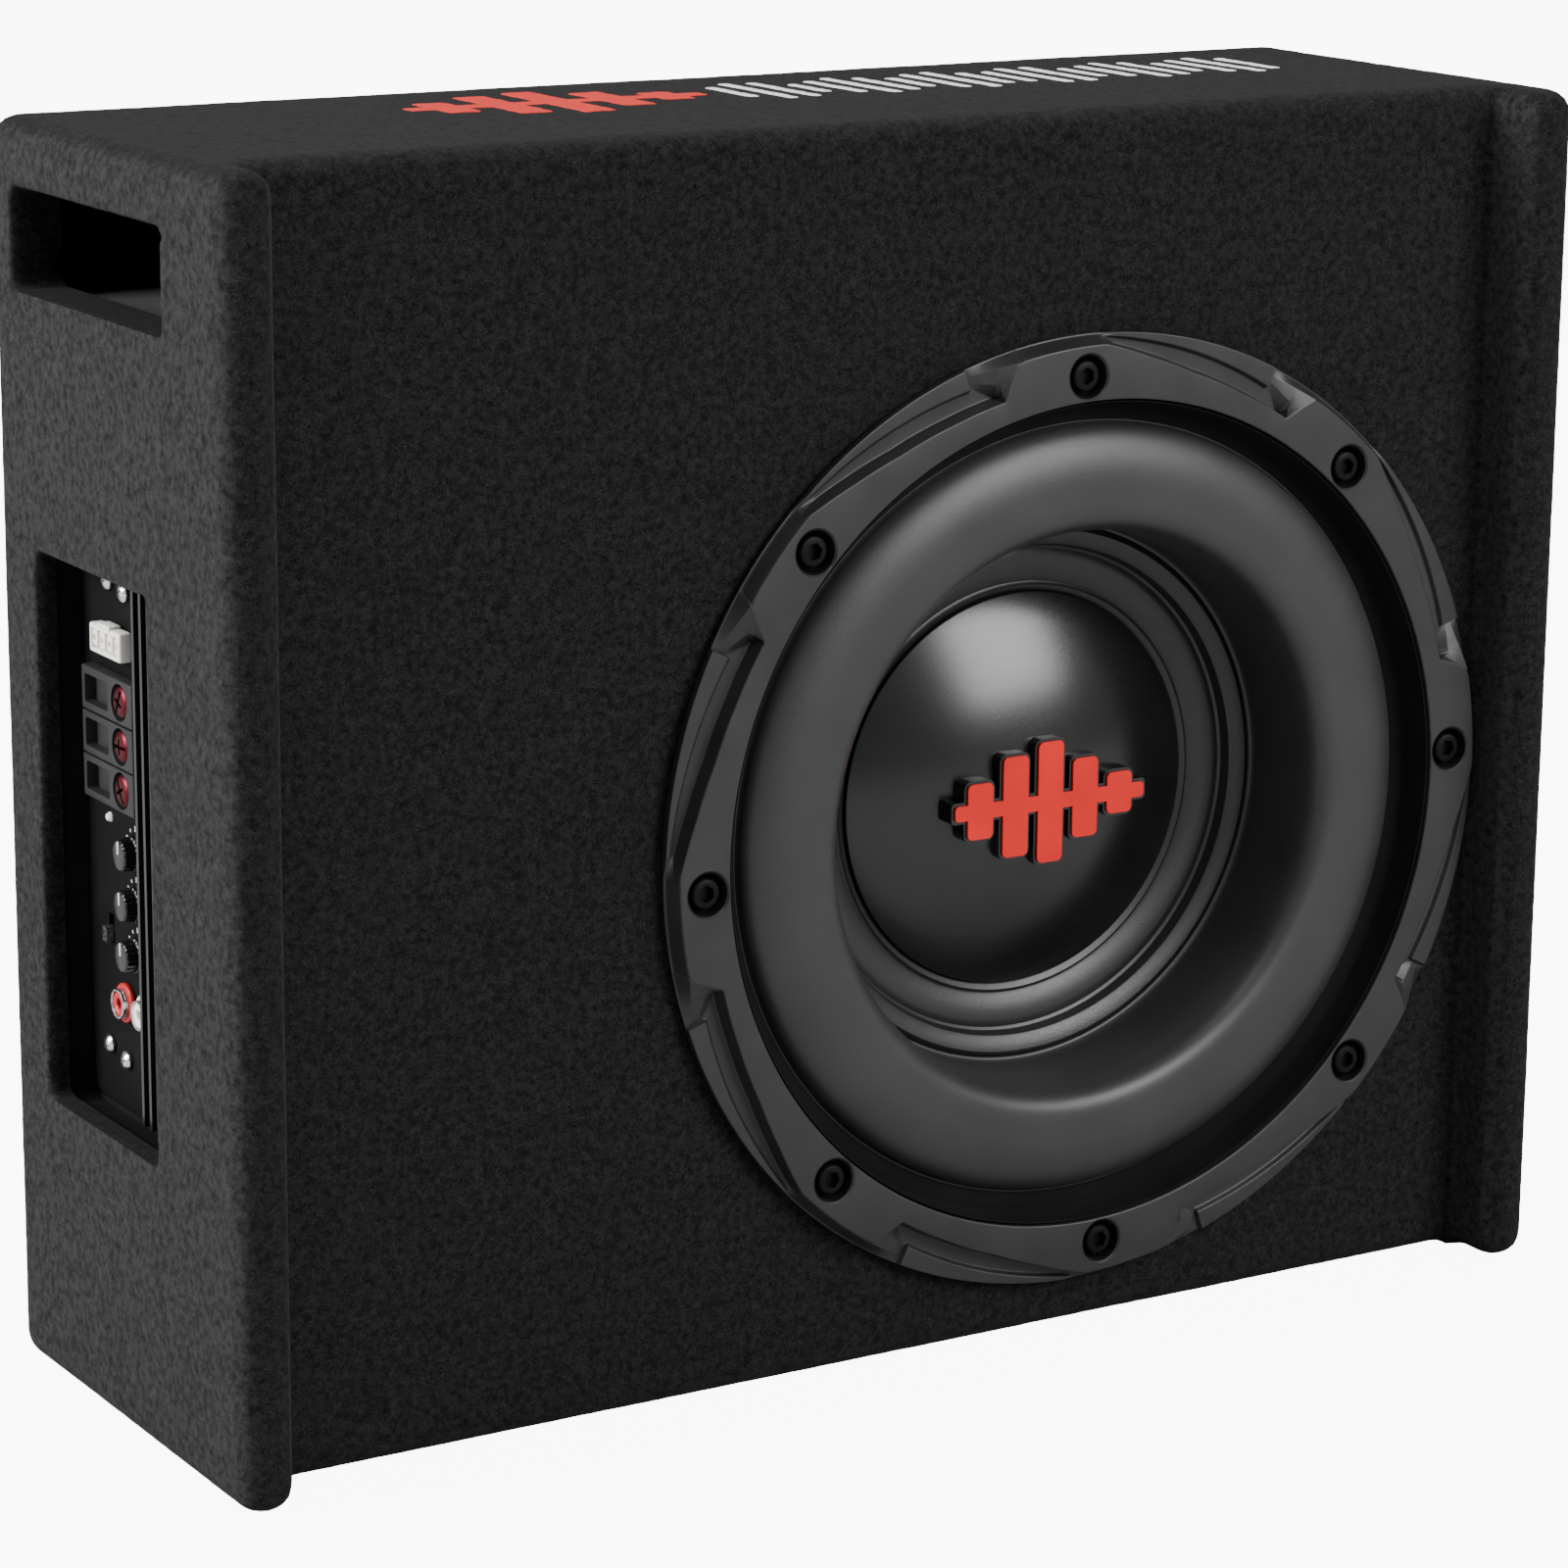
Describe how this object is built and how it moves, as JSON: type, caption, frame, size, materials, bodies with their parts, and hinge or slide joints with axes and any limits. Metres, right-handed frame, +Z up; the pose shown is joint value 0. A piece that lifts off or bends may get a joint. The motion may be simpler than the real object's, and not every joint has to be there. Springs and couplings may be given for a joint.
{
  "type": "powered car subwoofer",
  "caption": "Slim carpeted subwoofer box with a large cone driver, slot port and a built-in amplifier with a recessed connector panel.",
  "frame": {"origin": "centre of the bottom face, on the floor plane", "axes": "+X to the object's right seen from the front, -Y out of the driver's face, +Z up"},
  "size_m": [0.422, 0.149, 0.348],
  "materials": {
    "carpet": "black non-woven needle-felt carpet, speckled fibre, matt",
    "fibreboard": "bare medium-density fibreboard",
    "cast_frame": "cast frame, dark grey satin powder coat",
    "foam": "closed-cell foam gasket, black",
    "surround_rubber": "satin black moulded rubber, fine grain",
    "cone_pulp": "black coated cone, fine radial texture",
    "cap_plastic": "satin black moulded dome",
    "badge_red": "red moulded badge, satin",
    "spider_cloth": "resin-dipped woven cloth, amber",
    "coil_former": "thin rolled aluminium",
    "copper": "enamelled copper wire",
    "motor_steel": "black-coated mild steel",
    "ferrite": "sintered ferrite, dark grey",
    "black_screw": "black zinc-plated socket screw",
    "amp_black": "black gloss-anodised aluminium",
    "amp_alloy": "plain folded aluminium sheet",
    "board_green": "green circuit board",
    "terminal_grey": "moulded grey terminal block",
    "clamp_copper": "reddish plated clamp screw",
    "socket_white": "natural white nylon",
    "plug_red": "red insulator",
    "bright_steel": "bright plated steel",
    "knob_grey": "light grey moulded knob",
    "lamp_clear": "clear power lamp",
    "cable_red": "red cable sheath",
    "cable_black": "black plastic",
    "capacitor_sleeve": "dark blue shrink sleeve",
    "ferrite_core": "coated ferrite core"
  },
  "bodies": {
    "enclosure": {"side_panel_left": "fibreboard", "side_panel_right": "fibreboard", "top_panel": "fibreboard", "bottom_panel": "fibreboard", "back_panel": "fibreboard", "front_baffle": "fibreboard", "port_shelf": "fibreboard", "carpet_left": "carpet", "carpet_right": "carpet", "carpet_wrap": "carpet", "driver_frame": "cast_frame", "driver_gasket": "foam", "amp_gasket": "foam", "surround": "surround_rubber", "spider": "spider_cloth", "tinsel_lead_positive": "copper", "tinsel_lead_negative": "copper", "top_plate": "motor_steel", "pole_yoke": "motor_steel", "magnet": "ferrite", "driver_screw_1": "black_screw", "driver_screw_2": "black_screw", "driver_screw_3": "black_screw", "driver_screw_4": "black_screw", "driver_screw_5": "black_screw", "driver_screw_6": "black_screw", "driver_screw_7": "black_screw", "driver_screw_8": "black_screw", "speaker_terminal": "socket_white", "high_level_socket": "socket_white", "rca_jack_left": "socket_white", "rca_jack_right": "plug_red", "amp_end_plate": "amp_black", "amp_heatsink": "amp_black", "amp_chassis": "amp_alloy", "amp_cover": "amp_alloy", "circuit_board": "board_green", "smoothing_capacitor": "capacitor_sleeve", "supply_transformer": "ferrite_core", "power_terminal_block": "terminal_grey", "control_block": "cable_black", "speaker_wire_negative": "cable_black", "speaker_wire_positive": "cable_red", "plate_screw_1": "bright_steel", "plate_screw_2": "bright_steel", "plate_screw_3": "bright_steel", "plate_screw_4": "bright_steel", "power_lamp": "lamp_clear"},
    "cone_assembly": {"cone": "cone_pulp", "dust_cap": "cap_plastic", "cap_badge": "badge_red", "coil_former": "coil_former", "coil_winding": "copper"},
    "level_knob_body": {"level_knob": "knob_grey"},
    "crossover_knob_body": {"crossover_knob": "knob_grey"},
    "boost_knob_body": {"boost_knob": "knob_grey"},
    "phase_switch_body": {"phase_switch": "bright_steel"},
    "clamp_screw_1_body": {"clamp_screw_1": "clamp_copper"},
    "clamp_screw_2_body": {"clamp_screw_2": "clamp_copper"},
    "clamp_screw_3_body": {"clamp_screw_3": "clamp_copper"}
  },
  "joints": [
    {"name": "cone_stroke", "type": "slide", "parent": "enclosure", "child": "cone_assembly", "axis": [0, -1, 0], "range_m": [-0.008, 0.008], "stiffness_N_per_m": 2500, "deforming": ["surround", "spider", "tinsel_lead_positive", "tinsel_lead_negative"]},
    {"name": "level_turn", "type": "hinge", "parent": "enclosure", "child": "level_knob_body", "pos_m": [-0.199, 0.017, 0.156], "axis": [-1, 0, 0], "range_deg": [-140, 140]},
    {"name": "crossover_turn", "type": "hinge", "parent": "enclosure", "child": "crossover_knob_body", "pos_m": [-0.199, 0.017, 0.142], "axis": [-1, 0, 0], "range_deg": [-140, 140]},
    {"name": "boost_turn", "type": "hinge", "parent": "enclosure", "child": "boost_knob_body", "pos_m": [-0.199, 0.017, 0.128], "axis": [-1, 0, 0], "range_deg": [-140, 140]},
    {"name": "phase_slide", "type": "slide", "parent": "enclosure", "child": "phase_switch_body", "axis": [0, 0, 1], "range_m": [0, 0.003]},
    {"name": "clamp_turn_1", "type": "hinge", "parent": "enclosure", "child": "clamp_screw_1_body", "pos_m": [-0.2, 0.0155, 0.174], "axis": [-1, 0, 0], "range_deg": [-360, 360]},
    {"name": "clamp_turn_2", "type": "hinge", "parent": "enclosure", "child": "clamp_screw_2_body", "pos_m": [-0.2, 0.0155, 0.186], "axis": [-1, 0, 0], "range_deg": [-360, 360]},
    {"name": "clamp_turn_3", "type": "hinge", "parent": "enclosure", "child": "clamp_screw_3_body", "pos_m": [-0.2, 0.0155, 0.198], "axis": [-1, 0, 0], "range_deg": [-360, 360]}
  ]
}
